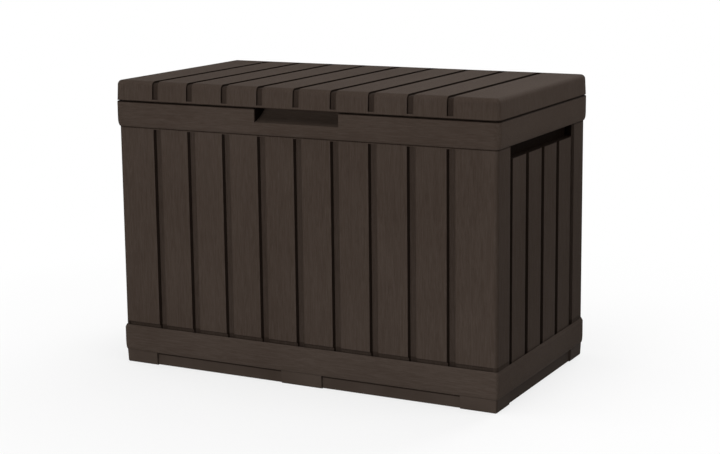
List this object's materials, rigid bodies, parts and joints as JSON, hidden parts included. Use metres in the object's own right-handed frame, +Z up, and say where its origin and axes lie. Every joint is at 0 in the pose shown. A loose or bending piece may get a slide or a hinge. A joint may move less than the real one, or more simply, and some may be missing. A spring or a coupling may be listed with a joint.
{
  "type": "dock storage box",
  "caption": "Moulded resin storage box with board-like slatted walls, hand-hold slots and a hinged slatted lid held by gas struts.",
  "frame": {"origin": "centre of the footprint on the ground, hinge knuckles included", "axes": "+X along the length to the right, +Y from the front to the rear hinge, +Z up"},
  "size_m": [0.8, 0.453, 0.5588],
  "materials": {
    "brown_resin": "moulded wood grain, matt",
    "liner_resin": "fine moulded texture, matt",
    "screw_steel": "zinc plated",
    "pin_steel": "zinc plated, turned",
    "bracket_steel": "zinc plated, pressed",
    "strut_paint": "satin black paint",
    "rod_chrome": "ground and chromed",
    "black_plastic": "moulded, matt"
  },
  "bodies": {
    "box": {"floor_panel": "brown_resin", "base_skirt": "brown_resin", "front_panel": "brown_resin", "rear_panel": "brown_resin", "left_side_panel": "brown_resin", "right_side_panel": "brown_resin", "top_rim": "brown_resin", "rim_screws": "screw_steel", "hinge_pin_left": "pin_steel", "hinge_pin_centre": "pin_steel", "hinge_pin_right": "pin_steel", "wall_bracket_screws": "screw_steel", "left_wall_bracket": "bracket_steel", "right_wall_bracket": "bracket_steel", "left_wall_stud": "pin_steel", "right_wall_stud": "pin_steel"},
    "lid": {"lid_shell": "brown_resin", "lid_liner": "liner_resin", "left_lid_bracket": "bracket_steel", "right_lid_bracket": "bracket_steel", "lid_bracket_screws": "screw_steel"},
    "left_tube": {"left_strut_tube": "strut_paint", "left_strut_gland": "black_plastic", "left_tube_eye": "black_plastic"},
    "left_rod": {"left_strut_rod": "rod_chrome", "left_strut_piston": "black_plastic", "left_rod_eye": "black_plastic", "left_lid_stud": "pin_steel"},
    "right_tube": {"right_strut_tube": "strut_paint", "right_strut_gland": "black_plastic", "right_tube_eye": "black_plastic"},
    "right_rod": {"right_strut_rod": "rod_chrome", "right_strut_piston": "black_plastic", "right_rod_eye": "black_plastic", "right_lid_stud": "pin_steel"}
  },
  "joints": [
    {"name": "lid_hinge", "type": "hinge", "parent": "box", "child": "lid", "pos_m": [0, 0.2205, 0.5193], "axis": [-1, 0, 0], "range_deg": [0, 80]},
    {"name": "left_tube_swing", "type": "hinge", "parent": "box", "child": "left_tube", "pos_m": [-0.364, 0.1695, 0.3513], "axis": [-1, 0, 0], "range_deg": [0, 27]},
    {"name": "left_rod_slide", "type": "slide", "parent": "left_tube", "child": "left_rod", "axis": [0, -0.38, 0.925], "range_m": [0, 0.113]},
    {"name": "right_tube_swing", "type": "hinge", "parent": "box", "child": "right_tube", "pos_m": [0.364, 0.1695, 0.3513], "axis": [-1, 0, 0], "range_deg": [0, 27]},
    {"name": "right_rod_slide", "type": "slide", "parent": "right_tube", "child": "right_rod", "axis": [0, -0.38, 0.925], "range_m": [0, 0.113]}
  ],
  "couplings": [
    {"joint": "left_tube_swing", "follows": "lid_hinge", "ratio": 0.33324},
    {"joint": "left_rod_slide", "follows": "lid_hinge", "m_per_rad": 0.078999},
    {"joint": "right_tube_swing", "follows": "lid_hinge", "ratio": 0.33324},
    {"joint": "right_rod_slide", "follows": "lid_hinge", "m_per_rad": 0.078999}
  ]
}
